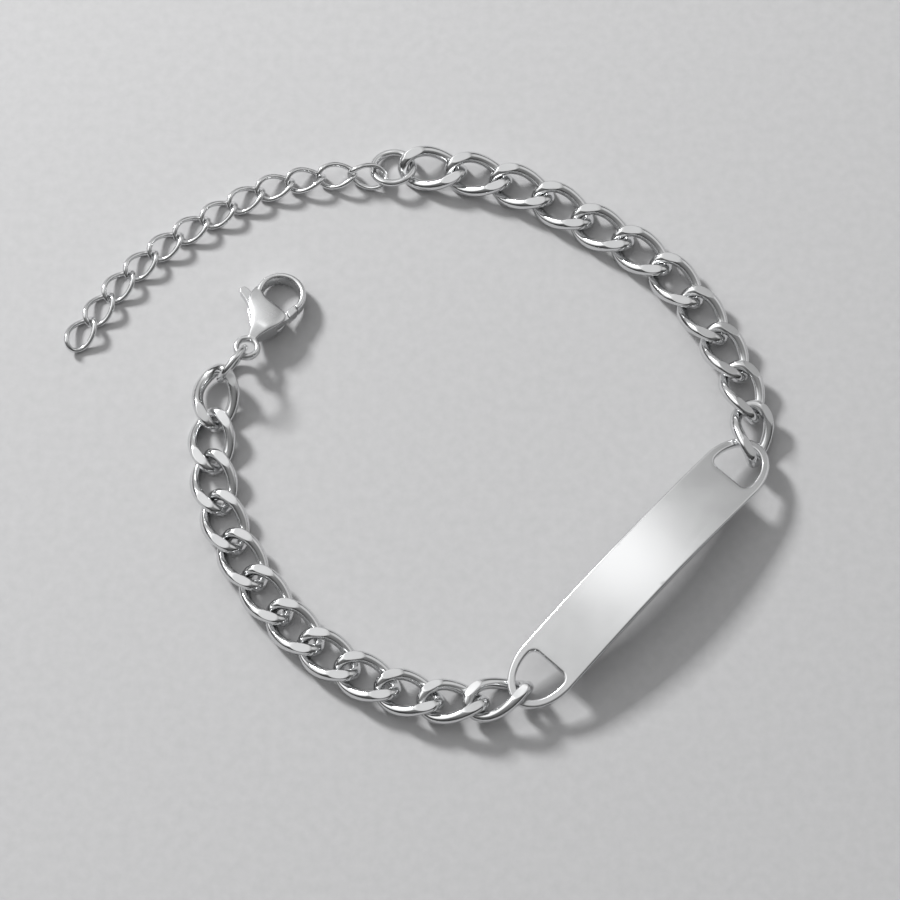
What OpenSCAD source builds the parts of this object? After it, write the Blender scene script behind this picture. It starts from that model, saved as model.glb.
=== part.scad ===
// Curb chain bracelet with an identity plate, unclasped and lying open on a flat surface.
// Millimetres. +Z is up, the surface is at zero height, and the origin is under the middle
// of the whole bracelet. +X runs towards the plate, +Y towards the jump ring.

/* [Curb chain] */
// Thickness of the wire of a curb link
curb_wire = 1.3; // [1.25:0.01:1.3]
// Outer length of a curb link
curb_length = 7.9; // [7.88:0.01:7.92]
// Outer width of a curb link
curb_width = 5.3; // [5.28:0.01:5.36]
// Height of a curb link between the two flats ground on it
curb_height = 2.4; // [2.36:0.01:2.44]
// Twist of a curb link from its middle to its end
curb_twist = 45; // [44.5:0.1:46]
// Distance between neighbours on the right branch, which lies pulled out
right_pitch = 5.2; // [5.19:0.01:5.21]
// Distance between neighbours on the left branch, which lies loosely
left_pitch = 4.85; // [4.84:0.01:4.86]

/* [Extender chain] */
// Thickness of the wire of an extender link
extender_wire = 0.6; // [0.55:0.01:0.6]
// Outer length of an extender link
extender_length = 4.8; // [4.78:0.01:4.82]
// Outer width of an extender link
extender_width = 3.25; // [3.24:0.01:3.3]
// Distance between neighbours on the extender
extender_pitch = 3.55; // [3.54:0.01:3.56]

/* [Rings] */
// Outer diameter of the jump ring between the curb chain and the extender
jump_outer = 5.36; // [5.34:0.01:5.38]
// Wire thickness of the jump ring
jump_wire = 0.8; // [0.75:0.01:0.8]
// Outer diameter of the connector ring between the curb chain and the clasp
connector_outer = 5.2; // [5.2:0.01:5.22]
// Wire thickness of the connector ring
connector_wire = 0.75; // [0.7:0.01:0.75]

/* [Identity plate] */
// Length of the plate from end to end
plate_length = 40; // [39.98:0.01:40.02]
// Width of the plate
plate_width = 7; // [6.9:0.05:7.1]
// Thickness of the plate
plate_thickness = 0.86; // [0.82:0.01:0.86]
// Rise of the plate's middle over its ends
plate_rise = 2.5; // [2.4:0.05:2.6]
// Metal between a hole and the plate's end
plate_end_rim = 0.95; // [0.9:0.01:0.95]
// Metal between a hole and the plate's long edges
plate_side_rim = 1; // [0.9:0.02:1.04]
// Depth of a hole from its flat inner side to the end rim
plate_hole_depth = 4.6; // [4.4:0.05:4.8]

/* [Clasp] */
// Inner diameter of the clasp's hook
hook_inner = 4.06; // [4:0.02:4.1]
// Width of the hook's bar, seen from above
hook_bar = 0.8; // [0.74:0.02:0.82]
// Thickness of the clasp over its two domed side plates
clasp_thickness = 2.6; // [2.54:0.02:2.64]
// Thickness of the lever
lever_thickness = 0.9; // [0.8:0.02:0.94]
// Radius of the pin that the lever turns on
pin_radius = 0.4; // [0.38:0.01:0.4]

/* [Hidden] */
LINK_COUNT_RIGHT = 11;
LINK_COUNT_LEFT = 12;
LINK_COUNT_EXTENDER = 12;

steel = [0.78, 0.79, 0.8];
dark_steel = [0.62, 0.63, 0.65];

// Added to a cut so that it runs past the face that it opens
past = 1;
// Length and width of the block that cuts the clasp's slot
slot_block = 10;

// Squareness of a link's oval: 2 is an ellipse, and more is squarer
oval_power = 2.2;
// Twist of an extender link from its middle to its end
extender_twist = 45;
// Rings along a link and sides around its wire
curb_rings = 28;
curb_sides = 10;
extender_rings = 24;
extender_sides = 8;
// Step to both sides of a place on the oval, over which its direction is taken
direction_step = 2;

// Each form of link: half its centreline's length and width, wire radius, twist,
// half its height between flats, rings and sides
HALF_LENGTH = 0;
HALF_WIDTH = 1;
WIRE_RADIUS = 2;
TWIST = 3;
HALF_HEIGHT = 4;
RINGS = 5;
SIDES = 6;
curb = [
    (curb_length - curb_wire) / 2, (curb_width - curb_wire) / 2, curb_wire / 2,
    curb_twist, curb_height / 2, curb_rings, curb_sides
];
extender = [
    (extender_length - extender_wire) / 2, (extender_width - extender_wire) / 2, extender_wire / 2,
    extender_twist, extender_width, extender_rings, extender_sides
];

// Headings of the links, counted from the plate outwards, and on the extender from the jump ring
right_start = [33.3, 0.8];
right_headings = [94, 106, 115, 120, 130, 143, 150, 147, 156, 168, 173];
left_start = [5.2, -29.4];
left_headings = [194, 174, 162, 153, 144, 135, 126, 119, 111, 100, 90, 85];
extender_start = [-9.25, 32.8];
extender_headings = [174, 182, 189, 199, 210, 212, 213, 219, 224, 231, 237, 237];

// Links that don't lie level where the walk puts them: which link it is, its shift in the plane,
// its height over its own rest, and its turns about up, its length and its width
WHICH = 0;
SHIFT_X = 1;
SHIFT_Y = 2;
LIFT = 3;
TURN = 4;
ROLL = 5;
TILT = 6;
right_leaning = [
    [0, -0.22, 0.35, 0, -5, 31.2, -0.2],
    [1, -0.08, 0.11, 0.2, -0.7, 22.6, 4.4],
    [2, -0.02, 0.02, 0.03, -0.4, 14.5, 2.8],
    [3, -0.01, -0.01, 0, 0.1, 6.5, 2.2],
    [9, 0.05, -0.01, 0.04, 0, -0.3, -0.6],
    [10, 0.01, -0.06, 0, 1.4, -5.1, -1.1]
];
left_leaning = [
    [0, -0.05, 0.35, 0.01, 4.1, 23.4, 2.6],
    [1, -0.04, 0.15, 0, 3.1, 15.4, 2],
    [2, 0, 0.03, 0.09, 0.8, 6.8, 1],
    [3, 0, 0, 0.03, 0.2, 2.9, 0.1],
    [10, 0.08, 0.09, 0, 0, 0, 0],
    [11, 0.21, 0.22, 0.08, 0, 6.1, -3.8]
];
extender_leaning = [
    [0, -0.03, 0.06, 0, 1.3, -44.8, -9.9],
    [1, 0, 0.03, 0.16, 2.2, -10.1, 2.8],
    [2, 0.01, -0.04, 0.09, 0.9, 4, -0.5],
    [3, 0.01, -0.03, 0.08, -0.3, -2.4, -0.9]
];

// Where the rings, the clasp and the plate lie: place of the middle, roll, tilt and heading
jump_place = [-6.44, 33.93, 1.2];
jump_turn = [-14.8, -3.9, 0];
connector_place = [-23.98, 9.21, 2.6];
connector_turn = [102.7, -0.7, 53.6];
clasp_place = [-22.29, 11.48, 2.36];
clasp_turn = [0, 8.6, 61.7];
plate_middle = [20.46, -15.02];
plate_heading = 47.5;
// Heights of the undersides of the plate's two ends, which the links under them carry
plate_lower_height = 1.26;
plate_upper_height = 1.35;

// Length of the plate's oval ends
plate_oval = 5;
// Length of a hole's inner part, behind its oval part, and the radius of the two corners there
hole_inner_part = 1;
hole_corner = 0.9;
// Step of the angle around an oval end or a corner
outline_step = 5;
// Radius of the arc that the plate's underside follows
plate_arc = (pow(plate_length / 2, 2) + pow(plate_rise, 2)) / (2 * plate_rise);
// Facets of the plate's arc, should it be shown as a mesh
arc_facets = 720;

// The clasp, in its own frame: the eye is near the origin, the hook lies ahead along X, and the
// lever's gate is on the lower side. Its layers lie evenly about zero height.
eye_middle = [-0.35, 0];
eye_inner = 0.82;
eye_outer = 1.52;
eye_half_height = 0.5;
eye_rounding = 0.6;
hook_middle = [7.35, 0];
hook_half_height = 0.9;
// Angles around the hook's middle where its bar begins, ends, and ends within the slot
hook_from = -112;
hook_to = 140;
hook_to_in_slot = 115;
// The gate's block closes the hook; it is higher than the rest of the lever, which lies in the slot
gate_half_height = 0.75;
slot_half_height = 0.55;
// Where the solid neck ends and the slot begins
neck_end = 1.75;
// The two spheres that dome the clasp's faces
dome_radius = 14;
dome_middle = [3.8, 0.2];
pin_place = [2.75, -0.3];
pin_hole_radius = pin_radius + 0.01;
lever_bore_radius = pin_radius + 0.05;
lever_boss_radius = 0.85;
// The blind holes end this far under the faces, and the pin ends this far from their ends
pin_cover = 0.3;
pin_end_gap = 0.02;

side_plate_outline = [
    [0.7, -0.5], [1.2, -0.6], [2.2, -1.15], [3.4, -1.75], [4.1, -1.98], [4.6, -2.02],
    [5.1, -1.85], [5.45, -1.4], [5.55, -0.7], [5.82, 0.63], [6.1, 1.35], [6.55, 1.95],
    [7.1, 2.3], [6.99, 2.98], [6.3, 3.02], [5.57, 2.95], [4.8, 2.72], [4.09, 2.4],
    [3.26, 1.67], [2.17, 0.95], [1.2, 0.6], [0.7, 0.5]
];
gate_outline = [[6.76, -1.93], [5.58, -1.64], [5.08, -2.37], [6.37, -2.68]];
// What is cut off the bar's end, so that it faces the gate's end all along
tip_cut = [[6.94, -1.74], [6.32, -2.93], [5.4, -3.1], [5.4, -1.5]];
lever_outline = [
    [2.6, -1.13], [3.3, -1.35], [4.2, -1.85], [5, -2.26], [5.6, -2.45], [5.9, -1.85], [5.5, -1.65], [4.6, -1],
    [4.05, -0.5], [3.75, -0.1], [3.85, 0.25], [4.2, 0.65], [5.2, 1.9], [5.65, 2.4],
    [6, 2.9], [6.22, 3.4], [6.3, 3.9], [6.22, 4.15], [6, 4.3], [5.75, 4.3],
    [5.45, 4.1], [4.9, 3.1], [4.2, 2.2], [3.5, 1.4], [2.8, 0.55]
];

// A unit vector at a heading
function ahead(heading) = [cos(heading), sin(heading)];

// The middles of a branch's links: each step goes along the mean of two neighbours' headings
function walk(start, headings, pitch) = [
    for (
        i = 0, place = start;
        i < len(headings);
        i = i + 1,
        place = i < len(headings) ? place + pitch * ahead((headings[i - 1] + headings[i]) / 2) : place
    ) place
];

// A number's size raised to a power, with the number's sign kept
function signed_power(value, power) = sign(value) * pow(abs(value), power);

// A point of a link's centreline: an oval that turns steadily about its own length
function oval_point(form, angle) =
    let (
        along = form[HALF_LENGTH] * signed_power(cos(angle), 2 / oval_power),
        across = form[HALF_WIDTH] * signed_power(sin(angle), 2 / oval_power),
        turn = -form[TWIST] * along / form[HALF_LENGTH]
    )
    [along, across * cos(turn), across * sin(turn)];

// A vector made one unit long
function unit(v) = v / norm(v);

// The points around the wire at one place of the oval, pressed flat at both ground faces
function wire_ring(form, angle) =
    let (
        middle = oval_point(form, angle),
        behind = oval_point(form, angle - direction_step),
        forward = unit(oval_point(form, angle + direction_step) - behind),
        side = unit(cross(forward, [0, 0, 1])),
        over = cross(side, forward),
        flat = form[HALF_HEIGHT]
    )
    [
        for (j = [0 : form[SIDES] - 1])
            let (
                around = 90 + 360 * j / form[SIDES],
                p = middle + form[WIRE_RADIUS] * (cos(around) * side + sin(around) * over)
            )
            [p[0], p[1], max(-flat, min(flat, p[2]))]
    ];

// All points of a link, ring after ring
function link_points(form) = [
    for (i = [0 : form[RINGS] - 1])
        each wire_ring(form, 360 * (i + 0.5) / form[RINGS])
];

// Two triangles for each patch between neighbouring rings and sides
function link_faces(form) = [
    for (i = [0 : form[RINGS] - 1])
        for (j = [0 : form[SIDES] - 1])
            let (
                next_ring = (i + 1) % form[RINGS],
                next_side = (j + 1) % form[SIDES],
                a = i * form[SIDES] + j,
                b = next_ring * form[SIDES] + j,
                c = next_ring * form[SIDES] + next_side,
                d = i * form[SIDES] + next_side
            )
            each [[a, c, b], [a, d, c]]
];

curb_points = link_points(curb);
extender_points = link_points(extender);

// The three axes of a piece that is rolled, tilted and then turned to a heading
function length_axis(roll, tilt, heading) = [
    cos(tilt) * cos(heading), cos(tilt) * sin(heading), -sin(tilt)
];
function width_axis(roll, tilt, heading) = [
    sin(roll) * sin(tilt) * cos(heading) - cos(roll) * sin(heading),
    sin(roll) * sin(tilt) * sin(heading) + cos(roll) * cos(heading),
    sin(roll) * cos(tilt)
];
function height_axis(roll, tilt, heading) =
    cross(length_axis(roll, tilt, heading), width_axis(roll, tilt, heading));

// Height of a link's middle when it rests on its lowest point
function rest_height(points, roll, tilt) =
    let (
        a = length_axis(roll, tilt, 0)[2],
        b = width_axis(roll, tilt, 0)[2],
        c = height_axis(roll, tilt, 0)[2]
    )
    -min([for (p = points) a * p[0] + b * p[1] + c * p[2]]);

// The seats of a branch's links: place of the middle, then roll, tilt and heading.
// A link that isn't in the leaning table lies level.
function seats(middles, headings, points, leaning) = [
    for (i = [0 : len(headings) - 1])
        let (
            found = [for (row = leaning) if (row[WHICH] == i) row],
            lean = len(found) > 0 ? found[0] : [i, 0, 0, 0, 0, 0, 0],
            height = rest_height(points, lean[ROLL], lean[TILT]) + lean[LIFT]
        )
        [
            [middles[i][0] + lean[SHIFT_X], middles[i][1] + lean[SHIFT_Y], height],
            [lean[ROLL], lean[TILT], headings[i] + lean[TURN]]
        ]
];
PLACE = 0;
TURNS = 1;

right_seats = seats(
    walk(right_start, right_headings, right_pitch), right_headings, curb_points, right_leaning
);
left_seats = seats(
    walk(left_start, left_headings, left_pitch), left_headings, curb_points, left_leaning
);
extender_seats = seats(
    walk(extender_start, extender_headings, extender_pitch), extender_headings,
    extender_points, extender_leaning
);

// How far a seated link reaches along one axis of the floor: 0 is X and 1 is Y
function reaches(points, seat, axis) =
    let (
        turns = seat[TURNS],
        a = length_axis(turns[0], turns[1], turns[2])[axis],
        b = width_axis(turns[0], turns[1], turns[2])[axis],
        c = height_axis(turns[0], turns[1], turns[2])[axis]
    )
    [for (p = points) seat[PLACE][axis] + a * p[0] + b * p[1] + c * p[2]];

// How far a wire ring reaches along one axis of the floor
function ring_reach(outer, wire, place, turns, axis) =
    let (lean = height_axis(turns[0], turns[1], turns[2])[axis])
    place[axis] + (outer - wire) / 2 * sqrt(1 - pow(lean, 2)) + wire / 2;

// The middle of the bracelet's outline, from the pieces that lie outermost
lowest_x = min(reaches(extender_points, extender_seats[LINK_COUNT_EXTENDER - 1], 0));
highest_x = max(reaches(curb_points, right_seats[0], 0));
lowest_y = min(concat(reaches(curb_points, left_seats[0], 1), reaches(curb_points, left_seats[1], 1)));
highest_y = ring_reach(jump_outer, jump_wire, jump_place, jump_turn, 1);
middle_x = (lowest_x + highest_x) / 2;
middle_y = (lowest_y + highest_y) / 2;

// A node's name in a row of numbered nodes
function numbered(name, i) = str(name, i < 9 ? "0" : "", i + 1);

// Moves the bracelet so that the origin is under its middle
module centred() {
    translate([-middle_x, -middle_y, 0]) children();
}

// Seats a piece: rolled, tilted and turned, with its own middle at the place
module seated(place, turns) {
    centred() translate(place) rotate(turns) children();
}

// One link, lying along X about its own middle
module link(form, points) {
    polyhedron(points = points, faces = link_faces(form), convexity = 6);
}

module right_link(i) {
    color(steel) seated(right_seats[i][PLACE], right_seats[i][TURNS]) link(curb, curb_points);
}

module left_link(i) {
    color(steel) seated(left_seats[i][PLACE], left_seats[i][TURNS]) link(curb, curb_points);
}

module extender_link(i) {
    color(steel) seated(extender_seats[i][PLACE], extender_seats[i][TURNS])
        link(extender, extender_points);
}

// A round wire ring, lying flat about its own middle
module wire_loop(outer, wire) {
    rotate_extrude($fn = 96)
        translate([(outer - wire) / 2, 0]) circle(d = wire, $fn = 32);
}

module jump_ring() {
    color(steel) seated(jump_place, jump_turn) wire_loop(jump_outer, jump_wire);
}

module connector_ring() {
    color(steel) seated(connector_place, connector_turn) wire_loop(connector_outer, connector_wire);
}

// The points of half an oval that ends at one place ahead and reaches back from it
function oval_end(end, reach, half_width) = [
    for (angle = [-90 : outline_step : 90])
        [end - reach + reach * cos(angle), half_width * sin(angle)]
];

// The points of a corner, from one angle over the next quarter turn
function corner_arc(middle, radius, from) = [
    for (angle = [from : outline_step : from + 90]) middle + radius * ahead(angle)
];

// The plate seen from above, without its holes
module plate_outline() {
    front_end = oval_end(plate_length / 2, plate_oval, plate_width / 2);
    polygon(concat(front_end, [for (p = front_end) -p]));
}

// The hole at the plate's end ahead, seen from above: oval in front, with two corners behind
module plate_hole() {
    hole_end = plate_length / 2 - plate_end_rim;
    half_width = plate_width / 2 - plate_side_rim;
    corner_x = hole_end - plate_hole_depth + hole_corner;
    corner_y = half_width - hole_corner;
    polygon(concat(
        oval_end(hole_end, plate_hole_depth - hole_inner_part, half_width),
        corner_arc([corner_x, corner_y], hole_corner, 90),
        corner_arc([corner_x, -corner_y], hole_corner, 180)
    ));
}

// The plate about its own middle, with its ends' undersides at zero height
module arched_plate() {
    arc_height = -plate_arc + plate_rise;
    difference() {
        intersection() {
            translate([0, 0, -past])
                linear_extrude(height = plate_rise + plate_thickness + 2 * past) plate_outline();
            translate([0, 0, arc_height]) rotate([90, 0, 0])
                cylinder(
                    r = plate_arc + plate_thickness, h = 2 * plate_width,
                    center = true, $fn = arc_facets
                );
        }
        translate([0, 0, arc_height]) rotate([90, 0, 0])
            cylinder(r = plate_arc, h = 3 * plate_width, center = true, $fn = arc_facets);
        for (end = [0, 1])
            mirror([end, 0, 0]) translate([0, 0, -past])
                linear_extrude(height = plate_rise + plate_thickness + 2 * past) plate_hole();
    }
}

module id_plate() {
    height = (plate_lower_height + plate_upper_height) / 2;
    slope = atan((plate_lower_height - plate_upper_height) / plate_length);
    color(steel) seated([plate_middle[0], plate_middle[1], height], [0, slope, plate_heading])
        arched_plate();
}

// The clasp's eye: a flat-sided ring with rounded edges
module clasp_eye() {
    translate([eye_middle[0], eye_middle[1], 0])
        rotate_extrude($fn = 96)
            translate([(eye_inner + eye_outer) / 2, 0])
                intersection() {
                    square([eye_outer - eye_inner, 2 * eye_half_height], center = true);
                    circle(r = eye_rounding, $fn = 48);
                }
}

// A lens between two spheres, which domes the clasp's faces
module clasp_lens() {
    depth = dome_radius - clasp_thickness / 2;
    intersection_for (side = [-1, 1])
        translate([dome_middle[0], dome_middle[1], side * depth]) sphere(r = dome_radius, $fn = 180);
}

// The neck and both side plates, with the slot between them
module clasp_cheeks() {
    difference() {
        intersection() {
            linear_extrude(height = 2 * clasp_thickness, center = true) polygon(side_plate_outline);
            clasp_lens();
        }
        translate([neck_end, -slot_block / 2, -slot_half_height])
            cube([slot_block, slot_block, 2 * slot_half_height]);
    }
}

// The hook's bar, with rounded upper and lower edges
module clasp_hook() {
    bar_radius = (hook_inner + hook_bar) / 2;
    straight = hook_half_height - hook_bar / 2;
    difference() {
        translate([hook_middle[0], hook_middle[1], 0])
            rotate_extrude(angle = hook_to - hook_from, start = hook_from, $fn = 128)
                translate([bar_radius, 0]) {
                    square([hook_bar, 2 * straight], center = true);
                    for (side = [-1, 1])
                        translate([0, side * straight]) circle(d = hook_bar, $fn = 32);
                }
        translate([hook_middle[0], hook_middle[1], -slot_half_height])
            rotate([0, 0, hook_to_in_slot]) cube([slot_block / 2, slot_block / 2, 2 * slot_half_height]);
        linear_extrude(height = 4 * hook_half_height, center = true) polygon(tip_cut);
    }
}

module clasp_body() {
    face_height = clasp_thickness / 2 - pin_cover;
    color(steel) seated(clasp_place, clasp_turn)
        difference() {
            union() {
                clasp_eye();
                clasp_cheeks();
                clasp_hook();
            }
            translate([pin_place[0], pin_place[1], -face_height])
                cylinder(r = pin_hole_radius, h = 2 * face_height, $fn = 48);
        }
}

module clasp_lever() {
    color(steel) seated(clasp_place, clasp_turn)
        difference() {
            union() {
                linear_extrude(height = lever_thickness, center = true) {
                    polygon(lever_outline);
                    translate(pin_place) circle(r = lever_boss_radius, $fn = 48);
                }
                linear_extrude(height = 2 * gate_half_height, center = true) polygon(gate_outline);
            }
            translate([pin_place[0], pin_place[1], -lever_thickness])
                cylinder(r = lever_bore_radius, h = 2 * lever_thickness, $fn = 48);
        }
}

module clasp_pin() {
    half_length = clasp_thickness / 2 - pin_cover - pin_end_gap;
    color(dark_steel) seated(clasp_place, clasp_turn)
        translate([pin_place[0], pin_place[1], -half_length])
            cylinder(r = pin_radius, h = 2 * half_length, $fn = 48);
}

id_plate();
for (i = [0 : LINK_COUNT_RIGHT - 1])
    right_link(i);
for (i = [0 : LINK_COUNT_LEFT - 1])
    left_link(i);
jump_ring();
for (i = [0 : LINK_COUNT_EXTENDER - 1])
    extender_link(i);
connector_ring();
clasp_body();
clasp_lever();
clasp_pin();
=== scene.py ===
# %% [markdown]
# A curb chain bracelet with an identity plate lies unclasped on a pale table.
# The construction model gives each piece's place and size. The script opens that model first and
# then lays a finer surface over each piece, in the same place. Lengths are worked out in
# millimetres, because jewellery is measured in them, and turned into metres at the end.

# %% Opening the construction model
import math

import bpy
import numpy as np
from mathutils import Matrix, Vector


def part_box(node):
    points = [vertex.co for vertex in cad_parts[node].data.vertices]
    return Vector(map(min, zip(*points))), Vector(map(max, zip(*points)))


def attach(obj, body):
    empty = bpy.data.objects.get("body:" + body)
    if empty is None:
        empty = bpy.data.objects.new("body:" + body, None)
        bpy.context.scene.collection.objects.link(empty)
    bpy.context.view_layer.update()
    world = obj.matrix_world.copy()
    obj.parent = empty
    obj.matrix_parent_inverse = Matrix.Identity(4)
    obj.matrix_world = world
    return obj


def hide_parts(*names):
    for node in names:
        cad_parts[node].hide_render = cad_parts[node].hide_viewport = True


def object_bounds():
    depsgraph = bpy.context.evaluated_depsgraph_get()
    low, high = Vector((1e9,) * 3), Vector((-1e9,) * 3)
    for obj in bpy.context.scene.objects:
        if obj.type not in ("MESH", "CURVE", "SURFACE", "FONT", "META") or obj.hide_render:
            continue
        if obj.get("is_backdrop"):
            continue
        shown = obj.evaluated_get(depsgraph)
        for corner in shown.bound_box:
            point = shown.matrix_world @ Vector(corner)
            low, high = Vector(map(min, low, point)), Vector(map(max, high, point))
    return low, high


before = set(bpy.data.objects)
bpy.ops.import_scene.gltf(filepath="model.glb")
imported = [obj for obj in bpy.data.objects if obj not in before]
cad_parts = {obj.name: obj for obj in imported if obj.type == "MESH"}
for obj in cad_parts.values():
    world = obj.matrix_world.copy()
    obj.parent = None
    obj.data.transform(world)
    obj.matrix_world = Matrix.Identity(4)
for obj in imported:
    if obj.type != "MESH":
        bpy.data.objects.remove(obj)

first_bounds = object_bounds()
MM = 0.001

# %% [markdown]
# How does a finer surface find its place? Each piece of the construction model is a skin of
# triangles. The directions in which that skin spreads most, less and least are the piece's own
# length, width and height, so the skin itself tells how the piece lies. This could also be copied
# from a table of angles. Measuring is chosen because it can't disagree with the model.

# %% Measuring how a piece lies
def skin(node):
    """The corners of a node's triangles in millimetres: triangle, corner, axis."""
    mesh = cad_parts[node].data
    mesh.calc_loop_triangles()
    corners = np.zeros(len(mesh.vertices) * 3)
    mesh.vertices.foreach_get("co", corners)
    numbers = np.zeros(len(mesh.loop_triangles) * 3, int)
    mesh.loop_triangles.foreach_get("vertices", numbers)
    return corners.reshape(-1, 3)[numbers].reshape(-1, 3, 3) / MM


def lie(node):
    """A node's middle and its length, width and height directions, as the rows of a table.

    Each triangle counts by its area. Its spread about the middle is the sum of the products of
    its corners with themselves and of the corners' sum with itself. The directions are those
    along which the summed spread is greatest, next and least.
    """
    triangles = skin(node)
    a, b, c = triangles[:, 0], triangles[:, 1], triangles[:, 2]
    area = np.linalg.norm(np.cross(b - a, c - a), axis=1) / 2
    middle = (area[:, None] * triangles.mean(axis=1)).sum(axis=0) / area.sum()
    local = triangles - middle
    summed = local.sum(axis=1)
    spread = np.einsum("n,nij,nik->jk", area, local, local)
    spread += np.einsum("n,nj,nk->jk", area, summed, summed)
    directions = np.linalg.eigh(spread)[1].T[::-1].copy()
    if directions[2, 2] < 0:
        directions[2] *= -1
    if np.linalg.det(directions) < 0:
        directions[1] *= -1
    return middle, directions


plate_directions = lie("id_plate")[1]
plate_heading = math.atan2(plate_directions[0][1], plate_directions[0][0])
print("plate heading", round(math.degrees(plate_heading), 1), "degrees")

# %% [markdown]
# Every new piece is a grid of points: rows along it and columns around it. Four neighbouring
# points make a face. The signed volume inside the faces shows whether they look outwards, and
# they are turned round if they don't.

# %% Making pieces from grids
def grid_faces(rows, columns, close_rows=True, close_columns=True):
    """Corner numbers of the faces between neighbouring rows and columns."""
    r = np.arange(rows if close_rows else rows - 1)
    c = np.arange(columns if close_columns else columns - 1)
    r, c = (part.ravel() for part in np.meshgrid(r, c, indexing="ij"))
    next_r = (r + 1) % rows
    next_c = (c + 1) % columns
    first, last = r * columns, next_r * columns
    return np.stack([first + c, last + c, last + next_c, first + next_c], axis=1)


def volume(points, faces):
    """Signed volume inside four-sided faces: a sixth of each triangle's triple product."""
    a, b, c, d = (points[faces[:, k]] for k in range(4))
    triples = np.einsum("ij,ij->i", a, np.cross(b, c)) + np.einsum("ij,ij->i", a, np.cross(c, d))
    return triples.sum() / 6


def outwards(points, faces):
    """The faces, turned round if they look inwards."""
    return faces if volume(points, faces) > 0 else faces[:, ::-1]


def mesh_of(name, points, faces):
    """A smooth-shaded mesh from points and lists of corner numbers."""
    mesh = bpy.data.meshes.new(name)
    mesh.from_pydata(np.asarray(points).tolist(), [], [list(face) for face in faces])
    mesh.polygons.foreach_set("use_smooth", np.ones(len(mesh.polygons), bool))
    mesh.update()
    return mesh


made = {}


def add_piece(node, mesh, body="bracelet"):
    """Puts a finished mesh, in metres, in the place of a node of the construction model."""
    piece = bpy.data.objects.new("fine_" + node, mesh)
    bpy.context.scene.collection.objects.link(piece)
    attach(piece, body)
    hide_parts(node)
    made[node] = piece
    return piece


def add_grid_piece(node, points, faces):
    """A piece from points that are already in place, in millimetres."""
    mesh = mesh_of("fine_" + node, points * MM, outwards(points, faces))
    return add_piece(node, mesh)


print("a 3 by 4 grid has", len(grid_faces(3, 4)), "faces when both ways are closed")

# %% [markdown]
# A curb link is a wire ring, an oval twisted about its own length and ground flat above and
# below. It could be a bent cylinder with a twist modifier and two cuts. Here it is one formula: a
# round wire is carried along the twisted oval, and points above or below the grinding height are
# pressed onto it. The columns around the wire are spread so that two of them always run along
# the edges of each flat, which keeps those edges crisp with few faces.

# %% Shape of a link
OVAL_POWER = 2.2
DIRECTION_STEP = math.radians(2)
FLAT_SHARES = np.array([0, 0.07, 0.25, 0.5, 0.75, 0.93])
SIDE_SHARES = np.array([0, 0.04, 0.14, 0.28, 0.43, 0.57, 0.72, 0.86, 0.96])
NARROWEST_FLAT = math.sin(math.radians(80))


def link_form(length, width, wire, twist, height, sides):
    """The measures of one kind of link.

    The round wire's surface lies midway between the corners and the sides of the construction
    model's many-sided wire, so its radius is the mean of the two distances from the wire's middle.
    """
    return {
        "half_length": (length - wire) / 2,
        "half_width": (width - wire) / 2,
        "radius": wire / 2 * (1 + math.cos(math.pi / sides)) / 2,
        "twist": math.radians(twist),
        "flat": height / 2,
    }


curb = link_form(length=7.9, width=5.3, wire=1.3, twist=45, height=2.4, sides=10)
extender = link_form(length=4.8, width=3.25, wire=0.6, twist=45, height=6.5, sides=8)


def signed_power(value, power):
    """A number's size raised to a power, with the number's sign kept."""
    return np.sign(value) * np.abs(value) ** power


def oval(form, angle):
    """Points of a link's middle line: an oval that turns steadily about its own length."""
    along = form["half_length"] * signed_power(np.cos(angle), 2 / OVAL_POWER)
    across = form["half_width"] * signed_power(np.sin(angle), 2 / OVAL_POWER)
    turn = -form["twist"] * along / form["half_length"]
    return np.stack([along, across * np.cos(turn), across * np.sin(turn)], axis=-1)


def unit(vectors):
    """Vectors made one unit long."""
    return vectors / np.linalg.norm(vectors, axis=-1, keepdims=True)


def link_points(form, rings):
    """Points of a link about its own middle: ring, column, axis.

    Around each place of the oval, point = middle + radius x (cosine x side + sine x over), where
    side is level and over stands on the wire. Its height then stays between both flats.
    """
    angle = np.radians(360 * (np.arange(rings) + 0.5) / rings)
    middle = oval(form, angle)
    forward = unit(oval(form, angle + DIRECTION_STEP) - oval(form, angle - DIRECTION_STEP))
    side = unit(np.cross(forward, [0, 0, 1]))
    over = np.cross(side, forward)
    reach = form["radius"] * over[:, 2]
    upper = np.arcsin(np.clip((form["flat"] - middle[:, 2]) / reach, -0.9, NARROWEST_FLAT))
    lower = np.arcsin(np.clip((-form["flat"] - middle[:, 2]) / reach, -NARROWEST_FLAT, 0.9))
    turns = [upper, math.pi - upper, math.pi - lower, 2 * math.pi + lower, 2 * math.pi + upper]
    around = np.concatenate(
        [
            start[:, None] + (end - start)[:, None] * shares
            for start, end, shares in zip(
                turns[:-1], turns[1:], [FLAT_SHARES, SIDE_SHARES, FLAT_SHARES, SIDE_SHARES]
            )
        ],
        axis=1,
    )[:, :, None]
    points = middle[:, None] + form["radius"] * (
        np.cos(around) * side[:, None] + np.sin(around) * over[:, None]
    )
    points[:, :, 2] = np.clip(points[:, :, 2], -form["flat"], form["flat"])
    return points


curb_points = link_points(curb, rings=96)
extender_points = link_points(extender, rings=64)
print("curb link", np.ptp(curb_points.reshape(-1, 3), axis=0).round(2), "mm")

# %% [markdown]
# One form of curb link serves all 23 places, and one form of extender link its 12. They could be
# linked copies, turned and moved as objects. Here the place goes into each mesh, because then a
# pattern that reads the object's own coordinates differs from link to link, as wear does. A link
# is let down or lifted until it is as high over the table as its piece of the construction model.

# %% Laying every link in its place
HEIGHT_TOLERANCE = 0.000001


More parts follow.
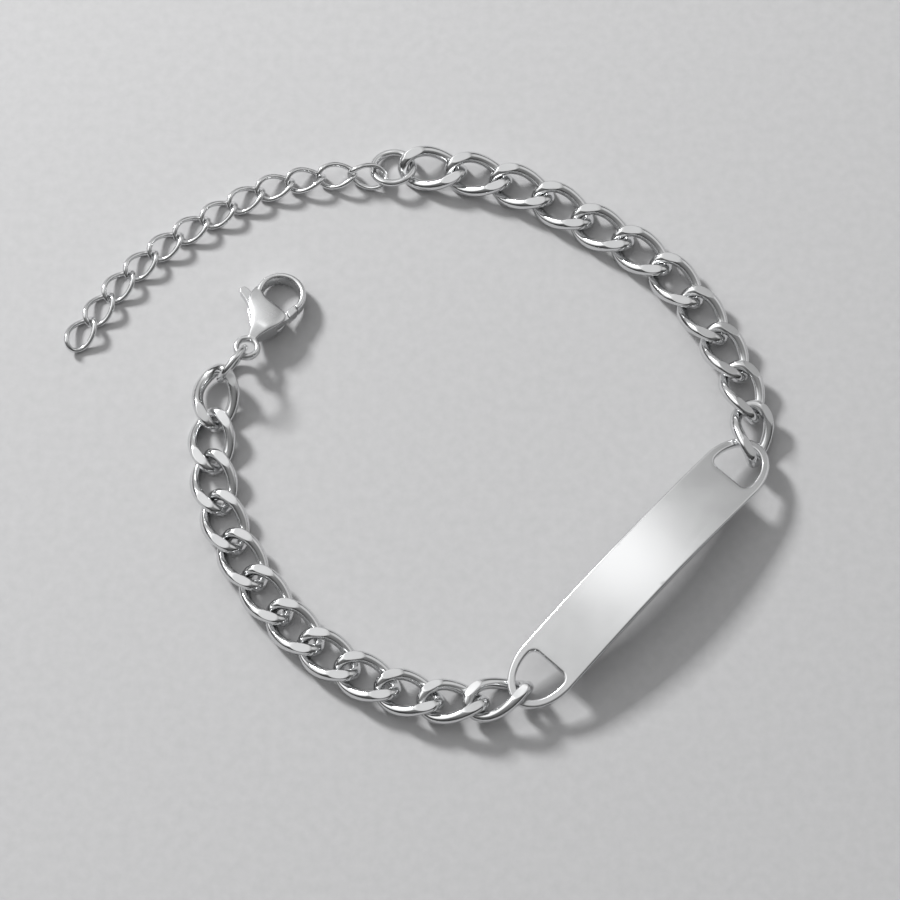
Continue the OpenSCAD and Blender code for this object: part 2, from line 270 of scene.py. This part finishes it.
def box_difference(node, points):
    """How far a piece's own box is from its node's box, at most, in millimetres."""
    low, high = (np.array(corner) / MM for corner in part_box(node))
    return max(np.abs(points.min(axis=0) - low).max(), np.abs(points.max(axis=0) - high).max())


def add_link(node, points, flat_height=math.inf):
    """Lays a link, turned to the node's own directions, at its middle and its lowest height.

    Height moves by the difference between the two lowest points. Points on a flat get a mark.
    """
    middle, directions = lie(node)
    placed = points.reshape(-1, 3) @ directions + middle
    placed[:, 2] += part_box(node)[0][2] / MM - placed[:, 2].min()
    piece = add_grid_piece(node, placed, grid_faces(*points.shape[:2]))
    on_flat = np.abs(points[:, :, 2].ravel()) > flat_height - HEIGHT_TOLERANCE
    mark = piece.data.attributes.new("ground", "FLOAT", "POINT")
    mark.data.foreach_set("value", on_flat.astype(float))
    return box_difference(node, placed)


curb_names = [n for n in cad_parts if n.startswith(("right_link", "left_link"))]
extender_names = [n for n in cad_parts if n.startswith("extender_link")]
curb_error = max(add_link(node, curb_points, curb["flat"]) for node in sorted(curb_names))
extender_error = max(add_link(node, extender_points) for node in sorted(extender_names))
print("links laid:", len(made), "boxes agree to", round(curb_error, 3), round(extender_error, 3), "mm")

# %% [markdown]
# The two rings are plain round wire bent into a circle: a small circle carried around a large one.
# A torus primitive would give the same form, but with its own place and turn still to be set. The
# measured directions of the ring do that here.

# %% Rings
def ring_points(outer, wire, rings=128, columns=28):
    """Points of a wire ring about its own middle, in the plane of its length and width."""
    around = np.linspace(0, 2 * math.pi, rings, endpoint=False)[:, None]
    section = np.linspace(0, 2 * math.pi, columns, endpoint=False)[None, :]
    reach = (outer - wire) / 2 + wire / 2 * np.cos(section)
    height = wire / 2 * np.sin(section) + 0 * around
    return np.stack([reach * np.cos(around), reach * np.sin(around), height], axis=-1)


for ring_name, ring_outer, ring_wire in [("jump_ring", 5.36, 0.8), ("connector_ring", 5.2, 0.75)]:
    ring_error = add_link(ring_name, ring_points(ring_outer, ring_wire))
    print(ring_name, "box agrees to", round(ring_error, 3), "mm")

# %% [markdown]
# The identity plate is an arched strip with a rounded hole near each end. A strip with two holes
# cut out by a boolean would leave hard edges and long slivers that show in a mirror finish. Here a
# closed profile is carried around one hole: over the hole's rounded edge, across the top to the
# plate's outline, over the rounded outer edge and back below. At the plate's middle the profile
# is left open, and a mirrored second half closes it.

# %% Identity plate
PLATE_HALF = 20.0
PLATE_HALF_WIDTH = 3.5
PLATE_THICKNESS = 0.86
PLATE_RISE = 2.5
PLATE_OVAL = 5.0
HOLE_END = PLATE_HALF - 0.95
HOLE_START = HOLE_END - 4.6
HOLE_OVAL = 3.6
HOLE_HALF_WIDTH = PLATE_HALF_WIDTH - 1.0
HOLE_CORNER = 0.9
EDGE_RADIUS = 0.24
CROWN = 0.05
RIM_STEP = 0.2
PLATE_ARC = (PLATE_HALF ** 2 + PLATE_RISE ** 2) / (2 * PLATE_RISE)


def straight(start, end, normal, count):
    """Points from start towards end, without the end, each with the same normal."""
    share = np.linspace(0, 1, count, endpoint=False)[:, None]
    return np.array(start) + share * (np.array(end) - start), np.tile(normal, (count, 1))


def corner(centre, radius, start, end, count):
    """Points of an arc from one angle to another, without the end, with their normals."""
    angle = np.radians(np.linspace(start, end, count, endpoint=False))
    normal = np.stack([np.cos(angle), np.sin(angle)], axis=1)
    return np.array(centre) + radius * normal, normal


def oval_end(end, reach, half_width, count):
    """Points of a quarter oval, from its side to its end, with their normals.

    The oval is a circle stretched along each axis, and a normal's parts are those of the circle,
    divided by the stretches.
    """
    angle = np.radians(np.linspace(90, 0, count))
    round_part = np.stack([np.cos(angle), np.sin(angle)], axis=1)
    stretch = np.array([reach, half_width])
    return np.array([end - reach, 0]) + round_part * stretch, unit(round_part / stretch)


def joined(parts):
    """The points and the normals of several parts, one after another."""
    return (np.concatenate([part[k] for part in parts]) for k in (0, 1))


hole_corner = [HOLE_START + HOLE_CORNER, HOLE_HALF_WIDTH - HOLE_CORNER]
hole_side = HOLE_END - HOLE_OVAL
rim_side = PLATE_HALF - PLATE_OVAL
COUNTS = [10, 30, 2, 30]

hole_line, hole_normal = joined([
    straight([HOLE_START, 0], [HOLE_START, hole_corner[1]], [-1, 0], COUNTS[0]),
    corner(hole_corner, HOLE_CORNER, 180, 90, COUNTS[1]),
    straight([hole_corner[0], HOLE_HALF_WIDTH], [hole_side, HOLE_HALF_WIDTH], [0, 1], COUNTS[2]),
    oval_end(HOLE_END, HOLE_OVAL, HOLE_HALF_WIDTH, COUNTS[3]),
])
rim_line, rim_normal = joined([
    straight([0, 0], [0, PLATE_HALF_WIDTH - EDGE_RADIUS], [0, 0], COUNTS[0]),
    straight([0, PLATE_HALF_WIDTH], [rim_side - RIM_STEP, PLATE_HALF_WIDTH], [0, 1], COUNTS[1]),
    straight([rim_side - RIM_STEP, PLATE_HALF_WIDTH], [rim_side, PLATE_HALF_WIDTH], [0, 1], COUNTS[2]),
    oval_end(PLATE_HALF, PLATE_OVAL, PLATE_HALF_WIDTH, COUNTS[3]),
])


def both_sides(line):
    """A line over one half of the plate's width, followed by its mirror image back."""
    return np.concatenate([line, (line * [1, -1])[-2:0:-1]])


EDGE_TURNS = np.radians([0, 18, 36, 54, 72, 90])
FACE_SHARES = np.array([0.03, 0.08, 0.16, 0.26, 0.37, 0.5, 0.63, 0.74, 0.84, 0.92, 0.97])


def half_plate():
    """Points of one half of the plate: station around the hole, step of the profile, axis."""
    hole, hole_out = both_sides(hole_line)[:, None], both_sides(hole_normal)[:, None]
    rim, rim_out = both_sides(rim_line)[:, None], both_sides(rim_normal)[:, None]
    inset = (EDGE_RADIUS * (1 - np.cos(EDGE_TURNS)))[None, :, None]
    drop = EDGE_RADIUS * (1 - np.sin(EDGE_TURNS))
    hole_edge = hole + inset * hole_out
    rim_edge = (rim - inset * rim_out)[:, ::-1]
    share = FACE_SHARES[None, :, None]
    face = hole_edge[:, -1:] * (1 - share) + rim_edge[:, :1] * share
    over = np.concatenate([hole_edge, face, rim_edge], axis=1)
    plan = np.concatenate([over, over[:, ::-1]], axis=1)
    upper = PLATE_THICKNESS - np.concatenate([drop, 0 * FACE_SHARES, drop[::-1]])
    level = np.concatenate([upper, PLATE_THICKNESS - upper])[None, :]
    x, y = plan[:, :, 0], plan[:, :, 1]
    crown = CROWN * level / PLATE_THICKNESS * (1 - (y / PLATE_HALF_WIDTH) ** 2)
    z = np.sqrt((PLATE_ARC + level) ** 2 - x ** 2) - PLATE_ARC + PLATE_RISE + crown
    return np.stack([x, y, z], axis=-1)


def merged(points, faces):
    """Points that coincide made one, and points that no face uses left out."""
    single, number = np.unique(points.round(4) + 0.0, axis=0, return_inverse=True)
    faces = number.reshape(-1)[faces]
    used, number = np.unique(faces, return_inverse=True)
    return single[used], number.reshape(faces.shape)


half = half_plate()
stations, steps = half.shape[:2]
station = np.repeat(np.arange(stations), steps)
step = np.tile(np.arange(steps), stations)
edge_start = len(EDGE_TURNS) + len(FACE_SHARES)
at_edge = (step >= edge_start) & (step < steps - edge_start - 1)
at_middle = (station < COUNTS[0]) | (station >= stations - COUNTS[0])
half_faces = outwards(half.reshape(-1, 3), grid_faces(stations, steps))
open_faces = half_faces[~(at_edge & at_middle)]
plate_points, plate_faces = merged(
    np.concatenate([half.reshape(-1, 3), half.reshape(-1, 3) * [-1, 1, 1]]),
    np.concatenate([open_faces, open_faces[:, ::-1] + half.shape[0] * half.shape[1]]),
)


def plate_place(points):
    """Moves the plate's points to where the construction model's plate lies."""
    reach = skin("id_plate").reshape(-1, 3) @ plate_directions.T
    low, high = reach.min(axis=0), reach.max(axis=0)
    origin = np.array([(low[0] + high[0]) / 2, (low[1] + high[1]) / 2, low[2]])
    return (points + origin) @ plate_directions


placed_plate = plate_place(plate_points)
add_grid_piece("id_plate", placed_plate, plate_faces)
print("plate", len(plate_faces), "faces, box agrees to", round(box_difference("id_plate", placed_plate), 3))

# %% [markdown]
# The clasp is a casting: an eye, a neck, two domed side plates and a curved hook flow into
# one another. Such a form could be modelled by hand with subdivision. Here simple closed
# shapes overlap, a remesh makes one skin over them all, and a little smoothing rounds the
# joins, as polishing does on the real casting.

# %% Helpers for the clasp
CLASP_TILT = 8.6
CLASP_HEADING = 61.7
PIN_PLACE = np.array([2.75, -0.3, 0])
heading_turn = Matrix.Rotation(math.radians(CLASP_HEADING), 3, "Z")
tilt_turn = Matrix.Rotation(math.radians(CLASP_TILT), 3, "Y")
clasp_directions = np.array(heading_turn @ tilt_turn).T
clasp_origin = lie("clasp_pin")[0] - PIN_PLACE @ clasp_directions


def smooth_line(marks, count):
    """A smooth line through marks: it passes each one along the direction between its neighbours."""
    marks = np.array(marks, float)
    before = np.concatenate([marks[:1], marks[:-1]])
    after = np.concatenate([marks[1:], marks[-1:]])
    slope = (after - before) / 2
    place = np.linspace(0, len(marks) - 1, count)
    i = np.minimum(place.astype(int), len(marks) - 2)
    t = (place - i)[:, None]
    start = (2 * t ** 3 - 3 * t ** 2 + 1) * marks[i] + (t ** 3 - 2 * t ** 2 + t) * slope[i]
    end = (3 * t ** 2 - 2 * t ** 3) * marks[i + 1] + (t ** 3 - t ** 2) * slope[i + 1]
    return start + end


def tube(points):
    """A closed shape from sections in a row: faces around it and a lid on each end."""
    rows, columns = points.shape[:2]
    flat_points = points.reshape(-1, 3)
    faces = grid_faces(rows, columns, close_rows=False).tolist()
    lids = [list(range(columns))[::-1], list(range((rows - 1) * columns, rows * columns))]
    return flat_points, faces + lids


def slab(outline, low, high):
    """An outline seen from above, made solid between two heights."""
    outline = np.array(outline, float)
    levels = [np.column_stack([outline, np.full(len(outline), z)]) for z in (low, high)]
    return tube(np.stack(levels))


def cast(node, shapes, cell, rounds, body, cutter=None):
    """One smooth skin over overlapping closed shapes, in millimetres, then put in place."""
    points, faces, first = [], [], 0
    for shape_points, shape_faces in shapes:
        points.append(shape_points)
        faces += [[number + first for number in face] for face in shape_faces]
        first += len(shape_points)
    rough = bpy.data.objects.new("rough_" + node, mesh_of("rough", np.concatenate(points), faces))
    bpy.context.scene.collection.objects.link(rough)
    if cutter is not None:
        tool = bpy.data.objects.new("cutter", mesh_of("cutter", *cutter))
        bpy.context.scene.collection.objects.link(tool)
        cut = rough.modifiers.new("bore", "BOOLEAN")
        cut.object = tool
        cut.operation = "DIFFERENCE"
    skin_over = rough.modifiers.new("skin", "REMESH")
    skin_over.mode = "VOXEL"
    skin_over.voxel_size = cell
    skin_over.use_smooth_shade = True
    soften = rough.modifiers.new("soften", "SMOOTH")
    soften.factor = 0.5
    soften.iterations = rounds
    bpy.context.view_layer.update()
    settled = rough.evaluated_get(bpy.context.evaluated_depsgraph_get())
    mesh = bpy.data.meshes.new_from_object(settled)
    bpy.data.objects.remove(rough)
    if cutter is not None:
        bpy.data.objects.remove(tool)
    place = Matrix(clasp_directions.T.tolist()).to_4x4()
    place.translation = Vector(clasp_origin.tolist())
    mesh.transform(Matrix.Scale(MM, 4) @ place)
    mesh.polygons.foreach_set("use_smooth", np.ones(len(mesh.polygons), bool))
    print(node, len(mesh.polygons), "faces")
    return add_piece(node, mesh, body)


print("clasp origin", clasp_origin.round(2), "mm")

# %% [markdown]
# The side plates are a pillow between two rails, which are smooth lines along their lower and
# upper edges: flat inside, where the lever's slot is, and domed outside. The hook is a bar with
# a rounded oblong section, carried along an arc. Its free end is a flat cut, so each point of the
# section starts the arc at an angle of its own. The eye is the same kind of sweep, closed.

# %% Clasp body
lower_rail = smooth_line([
    [0.82, -0.42], [1.35, -0.62], [2.2, -1.12], [3.4, -1.74], [4.1, -1.96], [4.6, -2.0], [5.08, -1.85],
    [5.43, -1.4], [5.56, -0.7], [5.83, 0.63], [6.12, 1.35], [6.6, 1.96], [7.25, 2.25],
], 80)
upper_rail = smooth_line([
    [0.82, 0.42], [1.3, 0.6], [1.7, 0.75], [2.17, 0.94], [2.7, 1.28], [3.26, 1.66], [3.7, 2.03],
    [4.09, 2.36], [4.45, 2.55], [4.8, 2.7], [5.57, 2.92], [6.4, 2.95], [7.3, 2.76],
], 80)
DOME_RADIUS = 14.0
DOME_DEPTH = 12.7
DOME_MIDDLE = [3.8, 0.2]
NOSE_START = 6.2
NOSE_DROP = 0.12
TAPER_START = 0.8
TAPER_HEIGHT = 0.5
TAPER_SLOPE = 0.5
BLEND = 12
SLOT = 0.55
across = (1 - np.cos(np.linspace(0, math.pi, 22))) / 2
bulge = (1 - np.abs(2 * across - 1) ** 4) ** 0.25


def face_height(place):
    """Height of the clasp's face: the lower of a shallow dome and a taper towards the neck.

    The lower of the two is taken softly: minus the logarithm of the sum of their falling powers.
    """
    away = np.sum((place - DOME_MIDDLE) ** 2, axis=-1)
    nose = NOSE_DROP * np.maximum(place[..., 0] - NOSE_START, 0) ** 2
    dome = np.sqrt(DOME_RADIUS ** 2 - away) - DOME_DEPTH - nose
    taper = TAPER_HEIGHT + TAPER_SLOPE * np.maximum(place[..., 0] - TAPER_START, 0)
    return -np.log(np.exp(-BLEND * dome) + np.exp(-BLEND * taper)) / BLEND


def pillow(rows, floor_height, wall):
    """Sections across a part between the rails: domed above, with a wall at both rails.

    Below it is flat at the floor height. With no floor it is the same above and below.
    """
    low, high = lower_rail[rows][:, None], upper_rail[rows][:, None]
    place = low * (1 - across[:, None]) + high * across[:, None]
    top = floor_height + (face_height(place) - floor_height) * (wall + (1 - wall) * bulge)
    bottom = np.full_like(top, floor_height) if floor_height else -top
    upper = np.concatenate([place, top[..., None]], axis=-1)
    lower = np.concatenate([place, bottom[..., None]], axis=-1)[:, ::-1]
    return np.concatenate([upper, lower], axis=1)


cheek = pillow(slice(None), SLOT, 0.45)
neck = pillow(slice(0, 22), 0, 0.5)
HOOK_MIDDLE = 7.35
HOOK_RADIUS = 2.43
HOOK_END = math.radians(114)
BAR_HALF_WIDTH = 0.4
BAR_HALF_HEIGHT = 0.9
BAR_POWER = 2.6
CUT_HEADING = math.radians(-27.5)
CUT_AWAY = 0.44
section = np.linspace(0, 2 * math.pi, 32, endpoint=False)[None, :]
bar_radius = HOOK_RADIUS + BAR_HALF_WIDTH * signed_power(np.cos(section), 2 / BAR_POWER)
cut_angles = CUT_HEADING - np.arccos(CUT_AWAY / bar_radius)
angles = cut_angles + np.linspace(0, 1, 90)[:, None] * (HOOK_END - cut_angles)
bar_height = BAR_HALF_HEIGHT * signed_power(np.sin(section), 2 / BAR_POWER) + 0 * angles
hook = np.stack([
    HOOK_MIDDLE + bar_radius * np.cos(angles),
    bar_radius * np.sin(angles),
    bar_height,
], axis=-1)
EYE_MIDDLE = -0.35
EYE_RADIUS = 1.17
EYE_HALF_WIDTH = 0.35
EYE_HALF_HEIGHT = 0.5
turn = np.linspace(0, 2 * math.pi, 64, endpoint=False)[:, None]
eye_reach = EYE_RADIUS + EYE_HALF_WIDTH * np.cos(section)
eye = np.stack([
    EYE_MIDDLE + eye_reach * np.cos(turn),
    eye_reach * np.sin(turn),
    EYE_HALF_HEIGHT * np.sin(section) + 0 * turn,
], axis=-1)
cast("clasp_body", [
    tube(cheek),
    tube(cheek * [1, 1, -1]),
    tube(neck),
    tube(hook),
    (eye.reshape(-1, 3), grid_faces(*eye.shape[:2]).tolist()),
], cell=0.06, rounds=5, body="bracelet")

# %% [markdown]
# The lever turns on a pin inside the slot. The squared block of its gate closes the hook, and its
# tab stands out on the other side for the thumb. Both are flat shapes, so outlines are enough. The
# bore for the pin is cut before the skin is laid, so that its rim is softened too.

# %% Clasp lever
lever_outline = [
    [2.6, -1.13], [3.3, -1.35], [4.2, -1.85], [5, -2.26], [5.6, -2.45], [5.9, -1.85],
    [5.5, -1.65], [4.6, -1], [4.05, -0.5], [3.75, -0.1], [3.85, 0.25], [4.2, 0.65], [5.2, 1.9], [5.65, 2.4],
    [6, 2.9], [6.22, 3.4], [6.3, 3.9], [6.22, 4.15], [6, 4.3], [5.75, 4.3],
    [5.45, 4.1], [4.9, 3.1], [4.2, 2.2], [3.5, 1.4], [2.8, 0.55],
]
LEVER_HALF = 0.45
GATE_HALF = 0.74
BORE_RADIUS = 0.45
BOSS_RADIUS = 0.84
gate_outline = [[6.75, -1.94], [5.59, -1.655], [5.1, -2.36], [6.37, -2.665]]
circle = np.stack([np.cos(turn[:, 0]), np.sin(turn[:, 0])], axis=1)
boss = PIN_PLACE[:2] + BOSS_RADIUS * circle
bore = PIN_PLACE[:2] + BORE_RADIUS * circle
cast("clasp_lever", [
    slab(lever_outline, -LEVER_HALF, LEVER_HALF),
    slab(boss, -LEVER_HALF, LEVER_HALF),
    slab(gate_outline, -GATE_HALF, GATE_HALF),
], cell=0.05, rounds=6, body="lever", cutter=slab(bore, -1, 1))

# %% [markdown]
# Polished steel shows its surroundings, so its finish is mostly gloss: a fully metallic surface
# with a low roughness. Real polish isn't even. Faint clouds in the roughness, fine wiping
# scratches in the bump and a trace of colour change keep it from looking like a perfect mirror. All
# patterns read the object's own coordinates, so they stay on the metal when it moves. The links'
# flats are ground and only lightly polished, so the mark on their points makes them satin. The same
# mark also darkens their colour, a painted shade that makes the flats read greyer than the round wire.

# %% Steel materials
FLATS_ROUGHER = 0.22
# Share of the colour left on the flats: a painted shade that makes them darker than the wire.
FLATS_PAINTED_SHADE = 0.83


def steel(name, tint, rough_low, rough_high, line_scale, line_bump, heading=0, satin_flats_and_painted_shade=False):
    """A metallic material whose roughness and fine lines vary at real scale.

    With satin flats, the faces marked as ground are rougher, and their colour is dimmed:
    a painted shade that makes them darker than the round wire.
    """
    material = bpy.data.materials.new(name)
    material.use_nodes = True
    nodes, links = material.node_tree.nodes, material.node_tree.links
    shader = nodes["Principled BSDF"]
    shader.inputs["Metallic"].default_value = 1.0
    place = nodes.new("ShaderNodeTexCoord")
    mapping = nodes.new("ShaderNodeMapping")
    mapping.inputs["Rotation"].default_value = (0, 0, -heading)
    mapping.inputs["Scale"].default_value = line_scale
    links.new(place.outputs["Object"], mapping.inputs["Vector"])
    clouds = nodes.new("ShaderNodeTexNoise")
    clouds.inputs["Scale"].default_value = 350
    clouds.inputs["Detail"].default_value = 5
    links.new(place.outputs["Object"], clouds.inputs["Vector"])
    lines = nodes.new("ShaderNodeTexNoise")
    lines.inputs["Scale"].default_value = 1
    lines.inputs["Detail"].default_value = 4
    links.new(mapping.outputs["Vector"], lines.inputs["Vector"])
    roughness = nodes.new("ShaderNodeMapRange")
    roughness.inputs["From Min"].default_value = 0.3
    roughness.inputs["From Max"].default_value = 0.7
    roughness.inputs["To Min"].default_value = rough_low
    roughness.inputs["To Max"].default_value = rough_high
    links.new(clouds.outputs["Fac"], roughness.inputs["Value"])
    links.new(roughness.outputs["Result"], shader.inputs["Roughness"])
    colour = nodes.new("ShaderNodeValToRGB")
    colour.color_ramp.elements[0].position = 0.3
    colour.color_ramp.elements[1].position = 0.75
    colour.color_ramp.elements[0].color = (*[0.93 * part for part in tint], 1)
    colour.color_ramp.elements[1].color = (*tint, 1)
    links.new(clouds.outputs["Fac"], colour.inputs["Fac"])
    links.new(colour.outputs["Color"], shader.inputs["Base Color"])
    if satin_flats_and_painted_shade:
        flats = nodes.new("ShaderNodeAttribute")
        flats.attribute_name = "ground"
        rougher = nodes.new("ShaderNodeMath")
        rougher.operation = "MULTIPLY_ADD"
        rougher.inputs[1].default_value = FLATS_ROUGHER
        links.new(flats.outputs["Fac"], rougher.inputs[0])
        links.new(roughness.outputs["Result"], rougher.inputs[2])
        links.new(rougher.outputs["Value"], shader.inputs["Roughness"])
        # Painted shade: the flats' colour is scaled down so that they read darker than the round wire.
        painted_shade_factor = nodes.new("ShaderNodeMapRange")
        painted_shade_factor.inputs["To Min"].default_value = 1
        painted_shade_factor.inputs["To Max"].default_value = FLATS_PAINTED_SHADE
        links.new(flats.outputs["Fac"], painted_shade_factor.inputs["Value"])
        shaded_colour = nodes.new("ShaderNodeVectorMath")
        shaded_colour.operation = "SCALE"
        links.new(colour.outputs["Color"], shaded_colour.inputs[0])
        links.new(painted_shade_factor.outputs["Result"], shaded_colour.inputs["Scale"])
        links.new(shaded_colour.outputs["Vector"], shader.inputs["Base Color"])
    bump = nodes.new("ShaderNodeBump")
    bump.inputs["Strength"].default_value = line_bump
    bump.inputs["Distance"].default_value = 0.00001
    links.new(lines.outputs["Fac"], bump.inputs["Height"])
    links.new(bump.outputs["Normal"], shader.inputs["Normal"])
    return material


# The chain's flats get satin roughness and a painted shade in their colour.
chain_steel = steel(
    "chain steel", (0.75, 0.755, 0.76), 0.11, 0.2, (1500, 6000, 6000), 0.12, satin_flats_and_painted_shade=True
)
cast_steel = steel("cast steel", (0.74, 0.745, 0.75), 0.2, 0.3, (2500, 2500, 2500), 0.16)
plate_steel = steel("plate steel", (0.765, 0.77, 0.775), 0.2, 0.24, (150, 9000, 9000), 0.06, plate_heading)
pin_steel = steel("pin steel", (0.5, 0.5, 0.52), 0.25, 0.4, (4000, 4000, 400), 0.2)
finishes = {"id_plate": plate_steel, "clasp_body": cast_steel, "clasp_lever": cast_steel}
for node, piece in made.items():
    piece.data.materials.append(finishes.get(node, chain_steel))
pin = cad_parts["clasp_pin"]
pin.data.materials.clear()
pin.data.materials.append(pin_steel)
print("finishes", sorted(material.name for material in bpy.data.materials if "steel" in material.name))

# %% [markdown]
# The table is a plain pale sheet with a faint grain. It only has to catch the shadows and give
# the steel something light to reflect from below.

# %% Table
FLOOR_HALF = 1.5
floor_mesh = mesh_of(
    "floor",
    np.array([[-1, -1, 0], [1, -1, 0], [1, 1, 0], [-1, 1, 0]]) * FLOOR_HALF,
    [[0, 1, 2, 3]],
)
floor = bpy.data.objects.new("floor", floor_mesh)
bpy.context.scene.collection.objects.link(floor)
paper = bpy.data.materials.new("pale paper")
paper.use_nodes = True
paper_nodes, paper_links = paper.node_tree.nodes, paper.node_tree.links
paper_shader = paper_nodes["Principled BSDF"]
paper_shader.inputs["Roughness"].default_value = 0.85
grain_place = paper_nodes.new("ShaderNodeTexCoord")
grain = paper_nodes.new("ShaderNodeTexNoise")
grain.inputs["Scale"].default_value = 900
grain.inputs["Detail"].default_value = 6
paper_links.new(grain_place.outputs["Object"], grain.inputs["Vector"])
shade = paper_nodes.new("ShaderNodeValToRGB")
shade.color_ramp.elements[0].color = (0.42, 0.42, 0.425, 1)
shade.color_ramp.elements[1].color = (0.5, 0.5, 0.505, 1)
paper_links.new(grain.outputs["Fac"], shade.inputs["Fac"])
paper_links.new(shade.outputs["Color"], paper_shader.inputs["Base Color"])
floor.data.materials.append(paper)
floor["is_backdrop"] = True
print("table", 2 * FLOOR_HALF, "m across")

# %% [markdown]
# Light for polished metal is mostly about what the metal sees. One small panel at the upper left
# gives the bright edges and the shadows to the lower right. It could be joined by more panels, but
# a panel's hard border shows in a polished face, so it stays the only one.

# %% Key light
key_light = bpy.data.lights.new("key panel", "AREA")
key_light.shape = "SQUARE"
key_light.size = 0.12
key_light.energy = 6.7
key_panel = bpy.data.objects.new("key panel", key_light)
bpy.context.scene.collection.objects.link(key_panel)
key_panel.location = (-0.44, 0.42, 0.38)
key_panel.rotation_mode = "QUATERNION"
key_panel.rotation_quaternion = key_panel.location.to_track_quat("Z", "Y")
print("key panel", round(key_panel.location.length, 2), "m away")

# %% [markdown]
# The rest of the light is painted on the room: soft round glows, the largest nearly overhead, with
# a small bright middle where a level face reflects it to the camera, and others at the left, the
# right and the back. One even sky would be simpler, but metal looks flat in it. Between the glows
# the room is dim, which leaves dark streaks on the wire beside the bright ones.

# %% Room
GLOWS = {
    "middle": {"towards": (0, 0.37, 0.93), "brightness": 0.8, "full": 1, "none": 12},
    "overhead": {"towards": (-0.16, 0.27, 0.95), "brightness": 0.46, "full": 8, "none": 43},
    "left": {"towards": (-0.78, 0.10, 0.62), "brightness": 1.3, "full": 6, "none": 30},
    "right": {"towards": (0.80, 0.36, 0.48), "brightness": 0.6, "full": 8, "none": 40},
    "back": {"towards": (-0.15, 0.88, 0.42), "brightness": 0.5, "full": 8, "none": 36},
}
world = bpy.data.worlds.new("room")
bpy.context.scene.world = world
world.use_nodes = True
room_nodes, room_links = world.node_tree.nodes, world.node_tree.links


def ranged(value, value_from, value_to, result_from, result_to):
    """A node that maps a range of values smoothly onto a range of results."""
    node = room_nodes.new("ShaderNodeMapRange")
    node.interpolation_type = "SMOOTHSTEP"
    node.inputs["From Min"].default_value = value_from
    node.inputs["From Max"].default_value = value_to
    node.inputs["To Min"].default_value = result_from
    node.inputs["To Max"].default_value = result_to
    room_links.new(value, node.inputs["Value"])
    return node.outputs["Result"]


direction = room_nodes.new("ShaderNodeTexCoord").outputs["Generated"]
parts = room_nodes.new("ShaderNodeSeparateXYZ")
room_links.new(direction, parts.inputs["Vector"])
brightness = ranged(parts.outputs["Z"], 0, 1, 0.015, 0.28)
for glow in GLOWS.values():
    nearness = room_nodes.new("ShaderNodeVectorMath")
    nearness.operation = "DOT_PRODUCT"
    nearness.inputs[1].default_value = Vector(glow["towards"]).normalized()
    room_links.new(direction, nearness.inputs[0])
    edge, core = math.cos(math.radians(glow["none"])), math.cos(math.radians(glow["full"]))
    added = room_nodes.new("ShaderNodeMath")
    room_links.new(brightness, added.inputs[0])
    room_links.new(ranged(nearness.outputs["Value"], edge, core, 0, glow["brightness"]), added.inputs[1])
    brightness = added.outputs["Value"]
room_nodes["Background"].inputs["Color"].default_value = (1, 1, 1, 1)
room_links.new(brightness, room_nodes["Background"].inputs["Strength"])
print("glows", sorted(GLOWS))

# %% [markdown]
# The camera looks down from the near side at 68 degrees. A long lens from 40 cm keeps the links
# at both ends of the bracelet nearly the same size, as a photographer's longer lens does. The
# picture's tones could go through the usual filmic curve, which keeps very bright light from
# clipping. The standard curve is chosen, because polished steel is meant to glint.

# %% Camera
CAMERA_DISTANCE = 0.4
LENS = 145.6
CAMERA_ELEVATION = math.radians(68)
target = Vector((0.0036266, -0.0021797, 0))
camera_data = bpy.data.cameras.new("camera")
camera_data.sensor_width = 36
camera_data.lens = LENS
camera_data.clip_start = 0.01
camera = bpy.data.objects.new("camera", camera_data)
bpy.context.scene.collection.objects.link(camera)
away = Vector((0, -math.cos(CAMERA_ELEVATION), math.sin(CAMERA_ELEVATION)))
camera.location = target + CAMERA_DISTANCE * away
camera.rotation_mode = "QUATERNION"
camera.rotation_quaternion = away.to_track_quat("Z", "Y")
bpy.context.scene.camera = camera
bpy.context.scene.view_settings.view_transform = "Standard"
print("camera", [round(part, 3) for part in camera.location], "m")

# %% [markdown]
# The finished pieces must not outgrow the construction model. Both boxes are kept, as the
# lowest and the highest corner of each, and their greatest difference is printed.

# %% Size of the finished model
size_record = {
    "construction": [list(corner_point) for corner_point in first_bounds],
    "finished": [list(corner_point) for corner_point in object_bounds()],
}
growth = np.array(size_record["finished"]) - np.array(size_record["construction"])
print("boxes differ by at most", round(np.abs(growth).max() / MM, 3), "mm")
